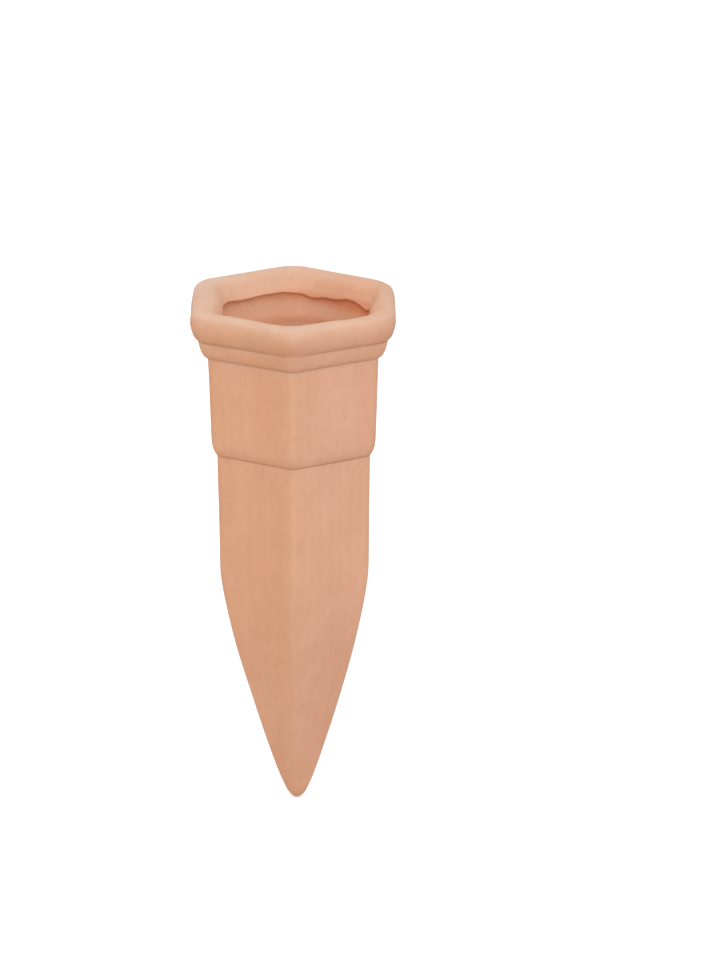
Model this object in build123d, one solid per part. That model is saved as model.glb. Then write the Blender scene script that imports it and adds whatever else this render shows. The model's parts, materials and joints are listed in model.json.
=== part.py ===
from build123d import *
from math import cos, radians, sin, tan
import os

# Self watering spike: a hollow terracotta spike with six flat sides, cast in one piece.
# Its rolled rim carries an upturned bottle, and water seeps out through the bare clay.
# Lengths are in millimetres and angles in degrees. Z points up along the axis. The origin
# lies on the axis at the collar's lower edge, which is where the soil's surface comes.
# Two of the six flats face +X and -X. An apothem is the distance from the axis to a flat.

sides = 6
turn_per_side = 360 / sides
flat_to_corner_turn = turn_per_side / 2

# Stages from the top down
rim_height = 10.1
bead_height = 6.0
collar_height = 32.5
body_height = 38.7
point_height = 83.4

# Body and point, which go into the soil
body_foot_width = 47.0
body_lean = 0.45  # how much further out the flats stand at the body's top
body_corner_radius = 2.8
point_power = 1.33  # shape of the taper: 1 is a straight pyramid, more is fuller
sharp_tip_reach = 7.0  # how far past the rounded nose the six flats would meet
nose_radius = 2.6
nose_half_angle = 24
point_sections = 12
section_crowding = 1.5  # sections lie closer together near the body, where the taper bends most

# Collar, which stays above the soil
collar_ledge = 0.3  # step from the body out to the collar's lower edge
collar_foot_swell = 1.45  # the rounded foot swells out by this much
collar_foot_height = 5.0
collar_lean = 0.9
collar_corner_radius = 3.3

# Bead between the collar and the rim
bead_ledge = 0.4
bead_swell = 2.4
bead_corner_radius = 5.4

# Rolled rim
rim_ledge = 0.7
rim_swell = 2.1
rim_edge_radius = 3.9
rim_corner_radius = 9.8

# Mouth: a steep funnel with a rounded lip, ending at the throat's edge
mouth_depth = 7.1
mouth_lip_radius = 2.2
mouth_margin = 7.5  # from the rim's widest flat in to the mouth's wall under the lip
mouth_taper = 1.5
mouth_corner_radius = 6.7

# Cavity, which follows the outside at the thickness of the cast wall
wall = 4.7
cavity_step_drop = 1.5  # the steps inside lie this much lower than those outside
cavity_corner_radius = 3.0
cavity_nose_radius = 3.0
cavity_tip_reach = 6.5

overrun = 2.0  # how far the mouth's cut runs past the rim's top

# Heights of the stages' edges
collar_foot_z = 0
collar_top_z = collar_foot_z + collar_height
bead_middle_z = collar_top_z + bead_height / 2
bead_top_z = collar_top_z + bead_height
rim_top_z = bead_top_z + rim_height
rim_widest_z = rim_top_z - rim_edge_radius
throat_z = rim_top_z - mouth_depth
body_foot_z = collar_foot_z - body_height

# How far below the body's foot the six flats of the point would meet
point_sharp_length = point_height + sharp_tip_reach

# Apothems, each stage standing out from the one below it
body_foot_apothem = body_foot_width / 2
body_top_apothem = body_foot_apothem + body_lean
collar_foot_apothem = body_top_apothem + collar_ledge
collar_flank_apothem = collar_foot_apothem + collar_foot_swell
collar_top_apothem = collar_flank_apothem + collar_lean
bead_foot_apothem = collar_top_apothem + bead_ledge
bead_top_apothem = bead_foot_apothem + bead_swell
rim_foot_apothem = bead_top_apothem + rim_ledge
rim_widest_apothem = rim_foot_apothem + rim_swell
mouth_top_apothem = rim_widest_apothem - mouth_margin
throat_apothem = mouth_top_apothem - mouth_taper

# Directions in which an outline sets off
downwards = (0, -1)
upwards = (0, 1)
inwards = (-1, 0)
outwards = (1, 0)


# A hexagon with flats on +X and -X and rounded corners, as a face at the given height
def hexagon_section(apothem, corner_radius, z):
    hexagon = RegularPolygon(apothem, sides, major_radius=False, rotation=flat_to_corner_turn)
    return Pos(0, 0, z) * fillet(hexagon.vertices(), corner_radius)


# Carries a side outline once round a hexagonal core: straight along each of its sides and
# through part of a turn at each of its corners. The outline is drawn from its top down,
# with the apothem as x and the height as y. A flat at any apothem gets a corner radius
# equal to its distance from the core.
def carry_round(outline, core_apothem):
    top = outline @ 0
    foot = outline @ 1
    closing_lines = Polyline(top, (core_apothem, top.Y), (core_apothem, foot.Y), foot)
    profile = Plane.XZ * make_face(outline + closing_lines)
    half_side = core_apothem * tan(radians(flat_to_corner_turn))
    bar = extrude(profile, half_side, both=True)
    corner_axis = Axis((core_apothem, half_side, 0), (0, 0, 1))
    wedge = revolve(Pos(0, half_side, 0) * profile, corner_axis, turn_per_side)
    core = RegularPolygon(core_apothem, sides, major_radius=False, rotation=flat_to_corner_turn)
    solid = extrude(Pos(0, 0, foot.Y) * core, top.Y - foot.Y)
    for side in range(sides):
        solid += Rot(0, 0, side * turn_per_side) * bar
        solid += Rot(0, 0, side * turn_per_side) * wedge
    return solid


# A stage of the outside, whose corners have the given radius at its widest flat
def stage(outline, corner_radius):
    widest_apothem = outline.bounding_box().max.X
    return carry_round(outline, widest_apothem - corner_radius)


# Round envelope of a point's end: a ball that runs out into a cone
def nose_envelope(end_z, ball_radius, top_z):
    cone_slope = tan(radians(nose_half_angle))
    cone_start_x = ball_radius * cos(radians(nose_half_angle))
    cone_start_z = end_z + ball_radius * (1 - sin(radians(nose_half_angle)))
    cone_top_x = cone_start_x + (top_z - cone_start_z) * cone_slope
    ball = TangentArc((0, end_z), (cone_start_x, cone_start_z), tangent=outwards)
    rest = Polyline((cone_start_x, cone_start_z), (cone_top_x, top_z), (0, top_z), (0, end_z))
    return revolve(Plane.XZ * make_face(ball + rest), Axis.Z)


# A point below the body's foot. Its flats would meet at sharp_length, and its rounded nose
# ends short of that by tip_reach.
def tapered_point(apothem, corner_radius, sharp_length, tip_reach, ball_radius):
    length = sharp_length - tip_reach
    sections = []
    for index in range(point_sections + 1):
        depth = length * (index / point_sections) ** section_crowding
        share_left = 1 - (depth / sharp_length) ** point_power
        z = body_foot_z - depth
        sections.append(hexagon_section(apothem * share_left, corner_radius * share_left, z))
    envelope = nose_envelope(body_foot_z - length, ball_radius, body_foot_z)
    return loft(sections, ruled=True) & envelope


def make_rim():
    edge = TangentArc(
        (rim_widest_apothem, rim_widest_z),
        (rim_widest_apothem - rim_edge_radius, rim_top_z),
        tangent=upwards,
    )
    flank = TangentArc(
        (rim_widest_apothem, rim_widest_z),
        (rim_foot_apothem, bead_top_z),
        tangent=downwards,
    )
    return stage(Wire([edge.edge(), flank.edge()]), rim_corner_radius)


def make_bead():
    outline = TangentArc(
        (bead_top_apothem, bead_top_z),
        (bead_foot_apothem, collar_top_z),
        tangent=downwards,
    )
    return stage(outline, bead_corner_radius)


def make_collar():
    flank_foot = (collar_flank_apothem, collar_foot_z + collar_foot_height)
    flank = Line((collar_top_apothem, collar_top_z), flank_foot)
    rounded_foot = TangentArc(
        flank_foot,
        (collar_foot_apothem, collar_foot_z),
        tangent=flank % 1,
    )
    return stage(Wire([flank.edge(), rounded_foot.edge()]), collar_corner_radius)


def make_body():
    top = (body_top_apothem, collar_foot_z)
    foot = (body_foot_apothem, body_foot_z)
    return carry_round(Line(top, foot), body_foot_apothem - body_corner_radius)


def make_point():
    return tapered_point(
        body_foot_apothem, body_corner_radius, point_sharp_length, sharp_tip_reach, nose_radius
    )


def make_mouth():
    lip_apothem = mouth_top_apothem + mouth_lip_radius
    above = Line((lip_apothem, rim_top_z + overrun), (lip_apothem, rim_top_z))
    lip = TangentArc(
        (lip_apothem, rim_top_z),
        (mouth_top_apothem, rim_top_z - mouth_lip_radius),
        tangent=inwards,
    )
    funnel = Line(
        (mouth_top_apothem, rim_top_z - mouth_lip_radius),
        (throat_apothem, throat_z),
    )
    outline = Wire([above.edge(), lip.edge(), funnel.edge()])
    return carry_round(outline, throat_apothem - mouth_corner_radius)


# The recess under the throat, the shelf, and the walls inside the collar and the body
def make_well():
    core_apothem = body_foot_apothem - wall - cavity_corner_radius
    outline = Polyline(
        (rim_foot_apothem - wall, throat_z),
        (bead_top_apothem - wall, bead_middle_z),
        (collar_top_apothem - wall, collar_top_z - cavity_step_drop),
        (collar_flank_apothem - wall, collar_foot_z + collar_foot_height),
        (body_top_apothem - wall, collar_foot_z - cavity_step_drop),
        (body_foot_apothem - wall, body_foot_z),
    )
    return carry_round(outline, core_apothem)


def make_hollow_point():
    share_to_wall = (1 - wall / body_foot_apothem) ** (1 / point_power)
    return tapered_point(
        body_foot_apothem - wall,
        cavity_corner_radius,
        point_sharp_length * share_to_wall,
        cavity_tip_reach,
        cavity_nose_radius,
    )


def make_spike():
    outside = make_rim() + make_bead() + make_collar() + make_body() + make_point()
    return outside - make_mouth() - make_well() - make_hollow_point()


os.makedirs("parts", exist_ok=True)
export_step(make_spike(), "parts/terracotta_spike.step")
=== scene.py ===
import bpy
import bmesh
import json
from math import atan2, cos, degrees, exp, radians, tan
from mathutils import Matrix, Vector

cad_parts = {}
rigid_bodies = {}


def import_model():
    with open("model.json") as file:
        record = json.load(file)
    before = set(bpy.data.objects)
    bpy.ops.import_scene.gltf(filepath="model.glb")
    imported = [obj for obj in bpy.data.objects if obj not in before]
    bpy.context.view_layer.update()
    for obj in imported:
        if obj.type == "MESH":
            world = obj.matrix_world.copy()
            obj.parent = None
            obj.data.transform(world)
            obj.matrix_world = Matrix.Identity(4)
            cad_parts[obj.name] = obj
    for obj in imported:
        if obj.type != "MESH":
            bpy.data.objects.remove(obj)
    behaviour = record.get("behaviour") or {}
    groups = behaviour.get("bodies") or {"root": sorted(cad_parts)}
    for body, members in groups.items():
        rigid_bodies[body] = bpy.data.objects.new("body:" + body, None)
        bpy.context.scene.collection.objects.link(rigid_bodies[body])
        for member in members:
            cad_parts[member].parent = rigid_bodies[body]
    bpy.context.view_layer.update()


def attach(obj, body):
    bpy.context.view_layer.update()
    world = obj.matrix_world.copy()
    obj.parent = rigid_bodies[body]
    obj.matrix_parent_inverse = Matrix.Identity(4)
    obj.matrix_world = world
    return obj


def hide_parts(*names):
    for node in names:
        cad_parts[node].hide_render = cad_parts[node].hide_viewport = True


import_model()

# A hollow six-sided terracotta watering spike, modelled as one wall of clay that runs from
# the tip up the outside, over the rolled rim and down the inside again.
# Levels are (height, apothem) in millimetres, read from the top of a part to its foot. An
# apothem is the distance from the axis to a flat. Two of the flats face +X and -X.

mm = 0.001
sideCount = 6
halfTurn = radians(180 / sideCount)  # from the middle of a flat to the corner beside it


def pickNothing():
    for each in bpy.context.selected_objects:
        each.select_set(False)


def editCage(cage):
    pickNothing()
    cage.select_set(True)
    bpy.context.view_layer.objects.active = cage
    bpy.ops.object.mode_set(mode='EDIT')


def leaveCage():
    bpy.ops.object.mode_set(mode='OBJECT')


def pickEdges(cage, wanted):  # picks the edges for which wanted(edge) is true, and only those
    bpy.ops.mesh.select_mode(type='EDGE')
    bpy.ops.mesh.select_all(action='DESELECT')
    work = bmesh.from_edit_mesh(cage.data)
    for edge in work.edges:
        edge.select_set(wanted(edge))
    work.select_flush_mode()
    bmesh.update_edit_mesh(cage.data)


def pickNearest(cage, place):  # picks the one vertex nearest to a place in millimetres
    bpy.ops.mesh.select_mode(type='VERT')
    bpy.ops.mesh.select_all(action='DESELECT')
    work = bmesh.from_edit_mesh(cage.data)
    target = Vector(place) * mm
    nearest = min(work.verts, key=lambda vertex: (vertex.co - target).length)
    nearest.select_set(True)
    work.select_flush_mode()
    bmesh.update_edit_mesh(cage.data)


def drawRing(cage, level, cornerRadius, ring):  # a hexagon with rounded corners, one on +Y
    height, apothem = level
    bpy.ops.mesh.select_all(action='DESELECT')
    bpy.ops.mesh.primitive_circle_add(
        vertices=sideCount, radius=apothem * mm / cos(halfTurn), fill_type='NGON',
        location=(0, 0, height * mm))
    bpy.ops.mesh.select_mode(type='VERT')
    bpy.ops.mesh.bevel(
        offset=cornerRadius * mm * tan(halfTurn) * ring["bevelEase"],
        segments=ring["cornerCuts"], profile=ring["bevelProfile"], affect='VERTICES')
    bpy.ops.mesh.delete(type='ONLY_FACE')
    longEdge = ring["longShare"] * apothem * mm
    pickEdges(cage, lambda edge: edge.is_wire and edge.calc_length() > longEdge)
    bpy.ops.mesh.subdivide(number_cuts=ring["sideCuts"])
    pickEdges(cage, lambda edge: edge.is_wire)


def pullStage(cage, stage, ring):  # draws a stage's first ring and extrudes it level by level
    levels = stage["levels"]
    rounding = stage.get("rounding", {})
    drawRing(cage, levels[0], stage["cornerRadius"], ring)
    for last, level in zip(levels, levels[1:]):
        rise = (level[0] - last[0]) * mm
        spread = level[1] / last[1]
        bpy.ops.mesh.extrude_edges_move(TRANSFORM_OT_translate={"value": (0, 0, rise)})
        bpy.ops.transform.resize(value=(spread, spread, 1), center_override=(0, 0, 0))
        if level[0] in rounding:
            bpy.ops.transform.tosphere(value=rounding[level[0]])
    if stage.get("closed"):
        bpy.ops.mesh.merge(type='CENTER')
    bpy.ops.mesh.select_linked()
    group = cage.vertex_groups.new(name=stage["name"])
    cage.vertex_groups.active_index = group.index
    bpy.ops.object.vertex_group_assign()


def joinStages(cage, upper, lower):  # bridges the foot of one stage and the top of the next
    ends = (upper["levels"][-1][0], lower["levels"][0][0])
    slack = 0.02  # how closely an edge has to meet an end's height

    def onEnd(edge):
        if len(edge.link_faces) != 1:
            return False
        height = edge.verts[0].co.z / mm
        return any(abs(height - end) < slack for end in ends)

    pickEdges(cage, onEnd)
    bpy.ops.mesh.bridge_edge_loops()


spike = {
    "ring": {"sideCuts": 11, "cornerCuts": 8, "bevelEase": 0.94, "bevelProfile": 0.5,
             "longShare": 0.5},  # an edge longer than this share of the apothem is a side
    "taperPower": 1.33,  # 1 is a straight pyramid, more is fuller
    "pointTop": (-38.7, 23.5),
    "pointLength": 90.4,  # from the point's top to where its flats would meet
    "hollowTop": (-38.7, 18.8),
    "hollowLength": 76.45,
}
pointZ = spike["pointTop"][0]
hollowZ = spike["hollowTop"][0]


def evenLevels(first, last, count):  # the first level and count more towards the last
    levels = []
    for index in range(count + 1):
        share = index / (count + 1)
        levels.append((
            first[0] + (last[0] - first[0]) * share,
            first[1] + (last[1] - first[1]) * share,
        ))
    return levels


def taperLevels(top, length, heights):  # levels on the taper below a top level
    levels = []
    for height in heights:
        share = (top[0] - height) / length
        levels.append((height, top[1] * (1 - share ** spike["taperPower"])))
    return levels


rim = {
    "name": "rim",
    "cornerRadius": 8.6,
    "levels": [
        (48.3, 29.1), (48.25, 29.85), (48.05, 30.55), (47.65, 31.12), (47.1, 31.52),
        (46.45, 31.78), (45.7, 31.94), (44.9, 32.03), (44.1, 32.03), (43.2, 31.95),
        (42.2, 31.77), (41.2, 31.52), (40.3, 31.24), (39.5, 30.9), (38.85, 30.4),
        (38.5, 29.95),
    ],
}
bead = {
    "name": "bead",
    "cornerRadius": 4.5,
    "levels": [
        (38.38, 29.4), (38.15, 29.48), (37.3, 29.32), (36.2, 29.05), (35.2, 28.75),
        (34.2, 28.38), (33.4, 27.95), (32.85, 27.5), (32.6, 27.1),
    ],
}
collar = {
    "name": "collar",
    "cornerRadius": 3.35,
    "levels": [(32.42, 26.6)]
    + evenLevels((32.1, 26.58), (5.6, 25.78), 16)
    + [(5.6, 25.78), (4.2, 25.66), (2.9, 25.44), (1.8, 25.12), (0.9, 24.72), (0.3, 24.4),
       (0.0, 24.2)],
}
body = {  # the body, the point below it and the round tip
    "name": "body",
    "cornerRadius": 2.85,
    "levels": [(-0.18, 23.95)]
    + evenLevels((-0.55, 23.94), (-36.0, 23.55), 18)
    + [(-36.0, 23.55)]
    + taperLevels(spike["pointTop"], spike["pointLength"],
                  [pointZ - depth for depth in (0.5, 2.2, 4, 6, 8, 10, 12)]
                  + [pointZ - 14 - 2.05 * step for step in range(30)])
    + [(-114.9, 4.7), (-116.2, 4.22), (-117.4, 3.75), (-118.5, 3.3), (-119.5, 2.78),
       (-120.4, 2.25), (-121.1, 1.65), (-121.65, 0.95), (-122.0, 0.3)],
    "rounding": {-114.9: 0.1, -116.2: 0.2, -117.4: 0.35, -118.5: 0.5, -119.5: 0.7,
                 -120.4: 0.9, -121.1: 1.0, -121.65: 1.0, -122.0: 1.0},
    "closed": True,
}
mouth = {  # from the lip down the funnel to the throat's edge
    "name": "mouth",
    "cornerRadius": 8.3,
    "levels": [
        (48.28, 28.2), (48.17, 27.4), (47.96, 26.6), (47.55, 25.85), (46.92, 25.2),
        (46.12, 24.65), (45.15, 24.25), (44.1, 23.9), (43.1, 23.6), (42.2, 23.36),
        (41.65, 23.2),
    ],
}
recess = {  # the undercut below the throat's edge
    "name": "recess",
    "cornerRadius": 8.6,
    "levels": [
        (41.42, 23.36), (41.25, 23.6), (40.9, 23.86), (40.3, 24.12), (39.4, 24.32),
        (37.8, 24.42), (36.2, 24.36), (34.8, 24.15), (33.4, 23.75), (32.2, 23.25),
    ],
}
bore = {  # the cavity inside collar, body and point
    "name": "bore",
    "cornerRadius": 4.6,
    "levels": [(31.0, 22.5)]
    + evenLevels((29.0, 21.95), (5.0, 21.0), 8)
    + [(5.0, 21.0), (2.5, 20.5), (0.5, 19.6)]
    + evenLevels((-1.5, 19.25), (-36.0, 18.85), 8)
    + taperLevels(spike["hollowTop"], spike["hollowLength"],
                  [hollowZ - 1 - 3.7 * step for step in range(17)])
    + [(-101.5, 3.4), (-104.0, 2.5), (-105.6, 1.3), (-106.1, 0.4)],
    "rounding": {-101.5: 0.4, -104.0: 0.8, -105.6: 1.0, -106.1: 1.0},
    "closed": True,
}


settling = {  # the rim's top sank a little in drying, most at the front and on the right
    "above": (42.6, 43.6, 44.5, 45.4, 46.2, 47.0),
    "turns": [("X", (0, 33, 44), 0.17), ("Y", (0, 0, 44), 0.15)],  # axis, hinge and degrees
}


def settleRim(cage):
    for height in settling["above"]:
        bpy.ops.mesh.select_mode(type='VERT')
        bpy.ops.mesh.select_all(action='DESELECT')
        work = bmesh.from_edit_mesh(cage.data)
        for vertex in work.verts:
            vertex.select_set(vertex.co.z > height * mm)
        bmesh.update_edit_mesh(cage.data)
        for axis, hinge, turn in settling["turns"]:
            bpy.ops.transform.rotate(
                value=-radians(turn), orient_axis=axis, center_override=Vector(hinge) * mm)


def modelSpike():
    pickNothing()
    bpy.ops.mesh.primitive_circle_add(vertices=sideCount, location=(0, 0, 0))
    cage = bpy.context.object
    cage.name = "terracottaWall"
    editCage(cage)
    bpy.ops.mesh.select_all(action='SELECT')
    bpy.ops.mesh.delete(type='VERT')  # each stage draws its own first ring
    outside = (rim, bead, collar, body)
    inside = (mouth, recess, bore)
    for stage in outside + inside:
        pullStage(cage, stage, spike["ring"])
    for stages in (outside, inside):
        for upper, lower in zip(stages, stages[1:]):
            joinStages(cage, upper, lower)
    pickEdges(cage, lambda edge: len(edge.link_faces) == 1)  # the rim's top and the mouth's
    bpy.ops.mesh.bridge_edge_loops()
    settleRim(cage)
    bpy.ops.mesh.select_all(action='SELECT')
    bpy.ops.mesh.normals_make_consistent(inside=False)
    leaveCage()
    return cage


def smoothWall(cage):
    smooth = cage.modifiers.new("smoothWall", 'SUBSURF')
    smooth.levels = 1
    smooth.render_levels = 1
    bpy.ops.object.modifier_apply(modifier=smooth.name)
    bpy.ops.object.shade_smooth()


handwork = {  # pushes, one by one: place, reach and move in millimetres
    "throat": [
        ((-8, 21, 41.6), 8, (0, 0, 0.5)), ((-3, 24.5, 41.6), 4.5, (0, 0, 0.35)),
        ((-20.7, 13.5, 41.6), 4, (0, 0, 0.4)), ((6.5, 23, 41.6), 5, (0, 0, -1.0)),
        ((4, 24, 41.6), 3, (0, 0, -0.3)), ((12, 20, 41.6), 6, (0, 0, -0.5)),
        ((16.2, 16.5, 41.6), 3, (0, 0, 0.3)), ((21.5, 12, 41.6), 6, (0.2, 0, -1.7)),
        ((23.4, 5, 41.6), 7, (0.5, 0, -0.6)), ((-23.2, 5, 41.6), 17, (0.45, 0, 0)),
    ],
    "lip": [
        ((-25.2, 3, 46.5), 21, (0.8, 0, 0.08)), ((1.5, -30, 47.7), 9, (0, 0, 0.38)),
        ((10, -26, 47.7), 7, (0, 0, 0.15)), ((18, -20, 47.6), 7, (0, 0, -0.25)),
        ((-9, 29, 48.2), 16, (0, 0.25, 0.05)), ((25.4, 11, 46.3), 9, (1.3, 0.4, 0)),
        ((25.2, 2, 46.3), 8, (0.8, 0, 0)),
    ],
    "rim": [
        ((-31.5, 7, 44.5), 10, (-0.34, 0, 0)), ((-31.5, -1.5, 44.5), 10, (-0.34, 0, 0)),
        ((30.8, 16.5, 45), 10, (-0.6, -0.1, 0)),
        ((-29.8, -17.2, 38.6), 18, (0, 0, -0.5)), ((29.8, -17.2, 38.6), 18, (0, 0, -0.4)),
    ],
    "collar": [((24.5, -6, 29), 14, (0.17, 0, 0)), ((16, -19, 0), 16, (0, 0, -0.17))],
    "tip": [((0, 0, -122), 60, (0.15, 0, 0)), ((-14.5, -8, -82), 24, (0.3, 0, 0))],
}
swells = {"size": 22, "height": 0.12, "detail": 2}  # the flats aren't true planes


def pushClay(piece, pushes):
    editCage(piece)
    for place, reach, move in pushes:
        pickNearest(piece, place)
        bpy.ops.transform.translate(
            value=Vector(move) * mm, use_proportional_edit=True,
            use_proportional_connected=True, proportional_edit_falloff='SMOOTH',
            proportional_size=reach * mm)
    leaveCage()


def roughenWall(piece):
    clouds = bpy.data.textures.new("handSwells", 'CLOUDS')
    clouds.noise_scale = swells["size"] * mm
    clouds.noise_depth = swells["detail"]
    wavy = piece.modifiers.new("handSwells", 'DISPLACE')
    wavy.texture = clouds
    wavy.texture_coords = 'LOCAL'
    wavy.strength = swells["height"] * mm * 2  # half of it out and half of it in
    wavy.mid_level = 0.5
    bpy.ops.object.modifier_apply(modifier=wavy.name)


wall = modelSpike()
print("cage: ", len(wall.data.vertices), "vertices")
smoothWall(wall)
pushClay(wall, [push for pushes in handwork.values() for push in pushes])
roughenWall(wall)
print("wall: ", len(wall.data.polygons), "faces")


zones = {  # how strong each zone is on each stage, as (height, share) from the top down
    # bloom: partly the clay's pale powdery bloom, partly painted light: a painted sheen on the
    # rim's top, lighter tops of bead and collar, and a lighter tip against the floor's shade
    "bloomAndPaintedLight": {
        "rim": [(48.1, 1.0), (47.2, 0.95), (46.2, 0.55), (45.0, 0.22), (43.0, 0.1),
                (40.0, 0.0)],
        "mouth": [(48.1, 1.0), (47.4, 0.85), (46.2, 0.6), (44.0, 0.4), (41.6, 0.15)],
        "bead": [(38.3, 0.3), (37.6, 0.25), (36.2, 0.0)],
        "collar": [(32.42, 0.45), (31.9, 0.4), (31.2, 0.12), (29.5, 0.0)],
        "body": [(-104.0, 0.0), (-121.0, 0.38)],
    },
    # painted shade: darker in the creases below rim, bead and collar, on the underside of the rim's
    # bulge, and deeper down the hollow
    "paintedShade": {
        "rim": [(44.0, 0.0), (42.0, 0.08), (40.4, 0.18), (39.2, 0.26), (38.75, 0.32),
                (38.5, 0.65)],
        "bead": [(38.4, 0.65), (38.1, 0.15), (37.7, 0.0), (35.5, 0.03), (34.2, 0.1),
                 (33.2, 0.2), (32.85, 0.3), (32.6, 0.6)],
        "collar": [(32.42, 0.6), (32.15, 0.1), (31.7, 0.0), (3.6, 0.0), (2.0, 0.05),
                   (1.0, 0.12), (0.35, 0.25), (0.02, 0.7)],
        "body": [(-0.18, 0.7), (-0.45, 0.2), (-0.9, 0.0)],
        "mouth": [(43.2, 0.0), (42.2, 0.06), (41.65, 0.16)],
        "recess": [(36.5, 0.0), (34.8, 0.16), (33.6, 0.38), (32.5, 0.65), (31.0, 0.9)],
        "bore": [(31.0, 0.9), (28.0, 0.95), (10.0, 1.0)],
    },
    "inside": {
        "mouth": [(47.9, 0.0), (46.6, 0.5), (45.2, 1.0), (41.6, 1.0)],
        "recess": [(41.42, 1.0), (32.0, 1.0)],
        "bore": [(31.0, 1.0), (-110.0, 1.0)],
    },
    # painted red shade: darker and redder under the throat's edge and in the recess below it
    "paintedRedShade": {
        "mouth": [(43.4, 0.0), (42.4, 0.1), (41.65, 0.3)],
        "recess": [(41.42, 0.95), (40.6, 0.75), (39.6, 0.4), (38.2, 0.0)],
    },
}
bloomLightAt = {"sides": 0.85, "front": 1.0, "backTurn": 0.5, "backFade": 0.6,
           "reach": 33}  # painted light, strongest at the front and back left, where the light falls
marks = {  # heights and fade in millimetres, angle round the axis and spread in degrees
    # less painted crease shade at the front corner, where the groove under the rim is filled
    "filledGroove": {"heights": (37.6, 39.4), "fade": 0.3, "angle": -90, "spread": 14,
                     "share": 0.8},
    # painted shade down the front corner of rim, bead and collar, with less bloom and painted light
    # there
    "frontCornerShade": {"heights": (33.0, 45.0), "fade": 3, "angle": -90, "spread": 11,
                    "share": 0.16, "bloomAndLightLoss": 5},
    # painted shade on the point's front-right flats
    "lowRightShade": {"heights": (-118.0, -50.0), "fade": 25, "angle": -48, "spread": 34,
                 "share": 0.15},
    # painted red shade on the funnel's back right
    "funnelRedShadeBack": {"heights": (35.0, 48.0), "fade": 3, "angle": 50, "spread": 32,
                   "share": 0.28},
    # less painted red shade at the back left of throat and recess, where the light falls
    "recessLitBackLeft": {"heights": (36.5, 46.0), "fade": 2, "angle": 125, "spread": 28,
                  "share": 0.7},
    # painted red shade in the recess at the back right, under the overhang
    "recessRedShadeRight": {"heights": (36.0, 45.0), "fade": 2, "angle": 33, "spread": 26,
                 "share": 1.1},
    # painted shade inside at the back right
    "insideShadeRight": {"heights": (28.0, 48.0), "fade": 3, "angle": 40, "spread": 40,
                  "share": 0.2},
    # painted shade on the funnel's right: less bloom and painted light, and less of the brightened
    # inside colour
    "funnelShadeRight": {"heights": (40.0, 47.6), "fade": 0.8, "angle": -14, "spread": 26,
                  "share": 0.85, "insideLoss": 0.65},
}


def readShare(steps, height):  # reads a (height, share) list at a height
    if height >= steps[0][0]:
        return steps[0][1]
    for upper, lower in zip(steps, steps[1:]):
        if height >= lower[0]:
            share = (upper[0] - height) / (upper[0] - lower[0])
            return upper[1] + (lower[1] - upper[1]) * share
    return steps[-1][1]


def markShare(name, place):  # how strongly a mark lies on a place
    mark = marks[name]
    low, high = (height * mm for height in mark["heights"])
    fromEnds = min(high - place.z, place.z - low) / (mark["fade"] * mm)
    turn = degrees(atan2(place.y, place.x)) - mark["angle"]
    return max(0, min(1, fromEnds)) * mark["share"] * exp(-(turn / mark["spread"]) ** 2)


def bloomLightRound(place):  # how strong the bloom and its painted light are on this side of the axis
    reach = bloomLightAt["reach"] * mm
    share = bloomLightAt["sides"] - (bloomLightAt["front"] - bloomLightAt["sides"]) * place.y / reach
    behind = max(0, min(1, place.y / reach / bloomLightAt["backFade"]))
    return share * (1 - bloomLightAt["backTurn"] * behind * place.x / reach)


def paintZones(piece):  # bloom with painted light, painted shade, inside and painted red shade are the four channels of one attribute
    groupNames = {group.index: group.name for group in piece.vertex_groups}
    layer = piece.data.color_attributes.new("clayZones", 'FLOAT_COLOR', 'POINT')
    for vertex in piece.data.vertices:
        place = vertex.co
        weights = {groupNames[member.group]: member.weight for member in vertex.groups}
        shares = {}
        for zone, stages in zones.items():
            shares[zone] = sum(weight * readShare(stages[name], place.z / mm)
                               for name, weight in weights.items() if name in stages)
        shares["bloomAndPaintedLight"] *= bloomLightRound(place)
        # painted shade on the funnel's right wall
        bare = weights.get("mouth", 0) * markShare("funnelShadeRight", place)
        shares["bloomAndPaintedLight"] *= 1 - bare
        shares["inside"] *= 1 - marks["funnelShadeRight"]["insideLoss"] * bare
        shares["paintedShade"] *= 1 - markShare("filledGroove", place)
        shares["paintedRedShade"] *= 1 - markShare("recessLitBackLeft", place)
        if shares["inside"] == 0:
            # painted shade down the front corner and on the point's front right
            darker = markShare("frontCornerShade", place)
            shares["paintedShade"] += darker + markShare("lowRightShade", place)
            shares["bloomAndPaintedLight"] *= 1 - marks["frontCornerShade"]["bloomAndLightLoss"] * darker
        else:
            shares["paintedShade"] += markShare("insideShadeRight", place)
        shares["paintedRedShade"] += weights.get("mouth", 0) * markShare("funnelRedShadeBack", place)
        shares["paintedRedShade"] += weights.get("recess", 0) * markShare("recessRedShadeRight", place)
        layer.data[vertex.index].color = [
            shares["bloomAndPaintedLight"], shares["paintedShade"], shares["inside"], min(1, shares["paintedRedShade"])]


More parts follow.
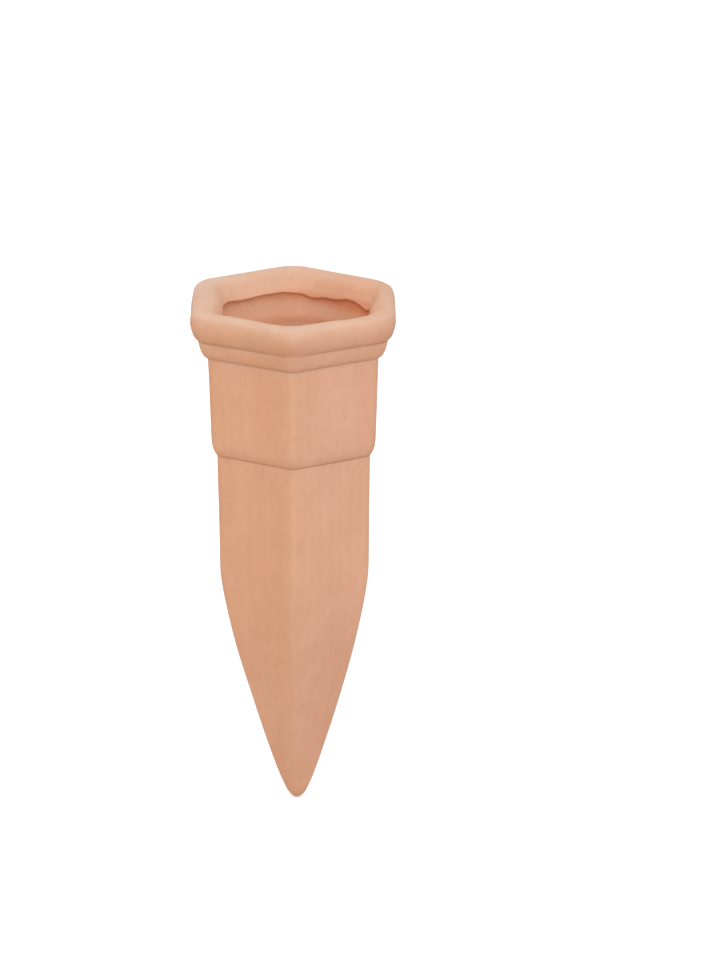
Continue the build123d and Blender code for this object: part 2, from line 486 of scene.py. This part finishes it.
clay = {
    "tones": [  # from the -X side to the +X side, as (millimetres, colour); the darker stop at -3.5 mm, beside the front corner, is painted shade
        (-26, (0.700, 0.360, 0.210, 1)), (-3.5, (0.676, 0.345, 0.196, 1)),
        (1.0, (0.704, 0.375, 0.236, 1)), (12, (0.699, 0.377, 0.243, 1)),
        (24, (0.694, 0.369, 0.233, 1)), (31, (0.676, 0.352, 0.218, 1)),
    ],
    "halfWidth": 32,  # how far the tones reach to each side, in millimetres
    "wander": 1.6,  # how far the tones' borders wander, in millimetres
    # pale colour of the bloom, which also carries the painted sheen and painted light
    "bloomAndPaintedLight": (0.740, 0.505, 0.378, 1),
    "thinnestBloomAndLight": 0.82,
    # painted light: the inside colour is paler than the clay so that the hollow looks lit
    "inside": (0.930, 0.572, 0.385, 1),
    # colour of the painted shade
    "paintedShade": (0.64, 0.42, 0.30, 1),
    # colour of the painted red shade
    "paintedRedShade": (0.97, 0.70, 0.56, 1),
    "rubbed": {"heights": (32, 39), "streaksLeft": 0.3},  # the rim was wiped smooth
    "roughness": (0.78, 0.94),
    "specular": 0.25,
}
grains = {  # noises, the span of each that is spread over 0 to 1, and what it does
    "patches": {"scale": 34, "stretch": (1, 1, 0.5), "detail": 3, "span": (0.36, 0.66),
                "tint": (0.718, 0.392, 0.262, 1), "share": 0.4},
    "clouds": {"scale": 120, "stretch": (1, 1, 0.6), "detail": 3, "span": (0.35, 0.68),
               "tint": (0.965, 0.955, 0.945, 1)},
    "streaks": {"scale": 520, "stretch": (1, 1, 0.02), "detail": 2, "span": (0.38, 0.68),
                "tint": (1.05, 1.06, 1.08, 1), "share": 0.55, "height": 0.006},
    "mottle": {"scale": 620, "stretch": (1, 1, 0.7), "detail": 4, "span": (0.36, 0.68),
               "tint": (0.93, 0.92, 0.91, 1), "share": 0.5},
    "bands": {"scale": 420, "stretch": (0.05, 0.05, 1), "detail": 3, "span": (0.36, 0.68),
              "tint": (0.96, 0.94, 0.93, 1)},
    "dust": {"scale": 240, "stretch": (1, 1, 1), "detail": 4, "span": (0.34, 0.62)},
    "specks": {"scale": 900, "stretch": (1, 1, 1), "detail": 1, "span": (0.74, 0.8),
               "tint": (0.72, 0.66, 0.60, 1), "share": 0.3},
    "peel": {"scale": 210, "stretch": (1, 1, 1), "detail": 2, "span": (0.25, 0.75),
             "height": 0.045},
    "grit": {"scale": 1300, "stretch": (1, 1, 1), "detail": 3, "span": (0.25, 0.75),
             "height": 0.014},
}


def addNode(tree, kind, place, **settings):
    made = tree.nodes.new(kind)
    made.location = place
    for name, value in settings.items():
        setattr(made, name, value)
    return made


def makeClay():
    material = bpy.data.materials.new("firedTerracotta")
    material.use_nodes = True
    tree = material.node_tree
    link = tree.links.new
    shader = tree.nodes["Principled BSDF"]
    shader.inputs["Specular IOR Level"].default_value = clay["specular"]
    place = addNode(tree, 'ShaderNodeTexCoord', (-2000, 0)).outputs["Object"]
    zone = addNode(tree, 'ShaderNodeAttribute', (-2000, -400), attribute_name="clayZones")
    zoneParts = addNode(tree, 'ShaderNodeSeparateColor', (-1800, -400))
    link(zone.outputs["Color"], zoneParts.inputs[0])
    bloomAndLightZone, paintedShadeZone, insideZone = (zoneParts.outputs[name] for name in ("Red", "Green", "Blue"))
    paintedRedShadeZone = zone.outputs["Alpha"]

    def respan(value, fromSpan, toSpan, at, kind='LINEAR'):  # maps one span to another
        mapped = addNode(tree, 'ShaderNodeMapRange', at, interpolation_type=kind)
        numbers = zip(("From Min", "From Max", "To Min", "To Max"), fromSpan + toSpan)
        for name, number in numbers:
            mapped.inputs[name].default_value = number
        link(value, mapped.inputs["Value"])
        return mapped.outputs["Result"]

    def reckon(first, kind, second, at):  # the second is an output of a node or a number
        made = addNode(tree, 'ShaderNodeMath', at, operation=kind)
        link(first, made.inputs[0])
        if isinstance(second, (int, float)):
            made.inputs[1].default_value = second
        else:
            link(second, made.inputs[1])
        return made.outputs[0]

    def blendIn(below, tint, factor, at, kind='MULTIPLY'):
        mix = addNode(tree, 'ShaderNodeMix', at, data_type='RGBA', blend_type=kind)
        link(factor, mix.inputs["Factor"])
        link(below, mix.inputs["A"])
        mix.inputs["B"].default_value = tint
        return mix.outputs["Result"]

    noises = {}
    for row, (name, grain) in enumerate(grains.items()):
        at = 1300 - 300 * row
        mapping = addNode(tree, 'ShaderNodeMapping', (-1750, at))
        mapping.inputs["Scale"].default_value = grain["stretch"]
        noise = addNode(tree, 'ShaderNodeTexNoise', (-1550, at), label=name)
        noise.inputs["Scale"].default_value = grain["scale"]
        noise.inputs["Detail"].default_value = grain["detail"]
        link(place, mapping.inputs["Vector"])
        link(mapping.outputs["Vector"], noise.inputs["Vector"])
        noises[name] = respan(
            noise.outputs["Fac"], grain["span"], (0, 1), (-1350, at), 'SMOOTHSTEP')

    axes = addNode(tree, 'ShaderNodeSeparateXYZ', (-1550, 1600))
    link(place, axes.inputs[0])
    rubbed = clay["rubbed"]
    rubbedSpan = tuple(height * mm for height in rubbed["heights"])
    streaksLeft = respan(
        axes.outputs["Z"], rubbedSpan, (1, rubbed["streaksLeft"]), (-1350, 850))
    noises["streaks"] = reckon(noises["streaks"], 'MULTIPLY', streaksLeft, (-1150, 800))

    def partly(name, key, at):  # a noise times its share or height
        return reckon(noises[name], 'MULTIPLY', grains[name][key], at)

    wander = reckon(noises["clouds"], 'MULTIPLY', clay["wander"] * mm, (-1350, 1500))
    border = reckon(axes.outputs["X"], 'ADD', wander, (-1200, 1600))
    half = clay["halfWidth"]
    across = respan(border, (-half * mm, half * mm), (0, 1), (-1050, 1600))
    tones = addNode(tree, 'ShaderNodeValToRGB', (-900, 1600))
    stops = tones.color_ramp.elements
    while len(stops) < len(clay["tones"]):
        stops.new(0.5)
    for stop, (offset, tone) in zip(stops, clay["tones"]):
        stop.position = (offset + half) / (2 * half)
        stop.color = tone
    link(across, tones.inputs["Fac"])
    dusting = respan(noises["dust"], (0, 1), (clay["thinnestBloomAndLight"], 1), (-1100, -100))
    bloomedAndLit = reckon(dusting, 'MULTIPLY', bloomAndLightZone, (-900, -100))
    banded = reckon(noises["bands"], 'MULTIPLY', insideZone, (-1000, 100))

    layers = [  # from the bare clay up
        (grains["patches"]["tint"], partly("patches", "share", (-1100, 1300)), 'MIX'),
        # the inside colour, brightened as painted light in the hollow
        (clay["inside"], insideZone, 'MIX'),
        # pale bloom, partly painted sheen and painted light
        (clay["bloomAndPaintedLight"], bloomedAndLit, 'MIX'),
        (grains["clouds"]["tint"], noises["clouds"], 'MULTIPLY'),
        (grains["streaks"]["tint"], partly("streaks", "share", (-1000, 700)), 'MULTIPLY'),
        (grains["mottle"]["tint"], partly("mottle", "share", (-1000, 400)), 'MULTIPLY'),
        (grains["bands"]["tint"], banded, 'MULTIPLY'),
        (grains["specks"]["tint"], partly("specks", "share", (-1000, -700)), 'MULTIPLY'),
        # painted shade in the creases and down the hollow
        (clay["paintedShade"], paintedShadeZone, 'MULTIPLY'),
        # painted red shade under the throat's edge
        (clay["paintedRedShade"], paintedRedShadeZone, 'MULTIPLY'),
    ]
    colour = tones.outputs["Color"]
    for row, (tint, factor, kind) in enumerate(layers):
        colour = blendIn(colour, tint, factor, (-700 + 200 * row, 1400 - 100 * row), kind)
    link(colour, shader.inputs["Base Color"])

    relief = reckon(partly("peel", "height", (-1100, -1000)), 'ADD',
                    partly("grit", "height", (-1100, -1300)), (-900, -1100))
    relief = reckon(relief, 'ADD', partly("streaks", "height", (-1100, -900)), (-700, -1100))
    bump = addNode(tree, 'ShaderNodeBump', (-400, -1000))
    bump.inputs["Strength"].default_value = 1
    bump.inputs["Distance"].default_value = mm
    link(relief, bump.inputs["Height"])
    link(bump.outputs["Normal"], shader.inputs["Normal"])
    dullness = respan(noises["clouds"], (0, 1), clay["roughness"], (-400, -600))
    link(dullness, shader.inputs["Roughness"])
    return material


paintZones(wall)
wall.data.materials.append(makeClay())
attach(wall, "root")
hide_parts("terracotta_spike")
print("clay: painted and fired")


studio = {
    "cameraPlace": (0.016588, -1.272237, 0.426085),
    "cameraTurn": (70.96003, 0.06612, -0.21407),
    "cameraClip": (0.05, 20),
    "lens": 158.811,
    "sensorWidth": 36.0,
    "skyStrength": 0.85,
    "lampPlace": (0.05, -1.1, 1.1),  # it points at the origin
    "lampSize": 1.0,
    "lampPower": 7.5,
    "floorHeight": -0.1221,
    "floorRadius": 4,
    "floorSides": 96,
    "floorColour": (0.84, 0.84, 0.84, 1),
    "floorLift": 0.45,  # glow that only the camera sees
    "white": (1, 1, 1, 1),
}


def addToScene(name, data):
    holder = bpy.data.objects.new(name, data)
    bpy.context.scene.collection.objects.link(holder)
    return holder


def makeCamera():
    camera = bpy.data.cameras.new("camera")
    camera.lens = studio["lens"]
    camera.sensor_width = studio["sensorWidth"]
    camera.clip_start, camera.clip_end = studio["cameraClip"]
    holder = addToScene("camera", camera)
    holder.location = studio["cameraPlace"]
    holder.rotation_euler = [radians(angle) for angle in studio["cameraTurn"]]
    bpy.context.scene.camera = holder


def makeSky():  # white for the camera and in reflections, a little dimmer as a light
    world = bpy.data.worlds.new("whiteStudio")
    world.use_nodes = True
    bpy.context.scene.world = world
    tree = world.node_tree
    link = tree.links.new
    background = tree.nodes["Background"]
    background.inputs["Color"].default_value = studio["white"]
    rays = addNode(tree, 'ShaderNodeLightPath', (-600, 200))
    direct = addNode(tree, 'ShaderNodeMath', (-400, 200), operation='MAXIMUM')
    seen = addNode(tree, 'ShaderNodeMath', (-400, 0), operation='MAXIMUM')
    strength = addNode(tree, 'ShaderNodeMapRange', (-200, 100))
    strength.inputs["To Min"].default_value = studio["skyStrength"]
    strength.inputs["To Max"].default_value = 1
    link(rays.outputs["Is Camera Ray"], direct.inputs[0])
    link(rays.outputs["Is Glossy Ray"], direct.inputs[1])
    link(direct.outputs[0], seen.inputs[0])
    link(rays.outputs["Is Transmission Ray"], seen.inputs[1])
    link(seen.outputs[0], strength.inputs["Value"])
    link(strength.outputs[0], background.inputs["Strength"])


def makeLamp():
    lamp = bpy.data.lights.new("frontSoftbox", 'AREA')
    lamp.size = studio["lampSize"]
    lamp.energy = studio["lampPower"]
    holder = addToScene("frontSoftbox", lamp)
    holder.location = studio["lampPlace"]
    holder.rotation_euler = (-Vector(studio["lampPlace"])).to_track_quat('-Z', 'Y').to_euler()
    holder.visible_camera = False


def makeFloor():
    pickNothing()
    bpy.ops.mesh.primitive_circle_add(
        vertices=studio["floorSides"], radius=studio["floorRadius"], fill_type='NGON',
        location=(0, 0, studio["floorHeight"]))
    floor = bpy.context.object
    floor.name = "studioFloor"
    bpy.ops.object.transform_apply(location=True)
    material = bpy.data.materials.new("whiteFloor")
    material.use_nodes = True
    tree = material.node_tree
    link = tree.links.new
    shader = tree.nodes["Principled BSDF"]
    shader.inputs["Base Color"].default_value = studio["floorColour"]
    shader.inputs["Roughness"].default_value = 1
    shader.inputs["Specular IOR Level"].default_value = 0
    shader.inputs["Emission Color"].default_value = studio["white"]
    rays = addNode(tree, 'ShaderNodeLightPath', (-600, 0))
    lift = addNode(tree, 'ShaderNodeMath', (-400, 0), operation='MULTIPLY')
    lift.inputs[1].default_value = studio["floorLift"]
    link(rays.outputs["Is Camera Ray"], lift.inputs[0])
    link(lift.outputs[0], shader.inputs["Emission Strength"])
    side = addNode(tree, 'ShaderNodeNewGeometry', (-400, 400))
    fromBelow = addNode(tree, 'ShaderNodeBsdfTransparent', (0, -300))  # doesn't hide the spike
    floorMix = addNode(tree, 'ShaderNodeMixShader', (400, 200))
    link(side.outputs["Backfacing"], floorMix.inputs["Fac"])
    link(shader.outputs["BSDF"], floorMix.inputs[1])
    link(fromBelow.outputs["BSDF"], floorMix.inputs[2])
    link(floorMix.outputs[0], tree.nodes["Material Output"].inputs["Surface"])
    floor.data.materials.append(material)


makeCamera()
makeSky()
makeLamp()
makeFloor()
bpy.context.scene.view_settings.view_transform = 'Standard'
print("studio: camera, sky, softbox and floor in place")
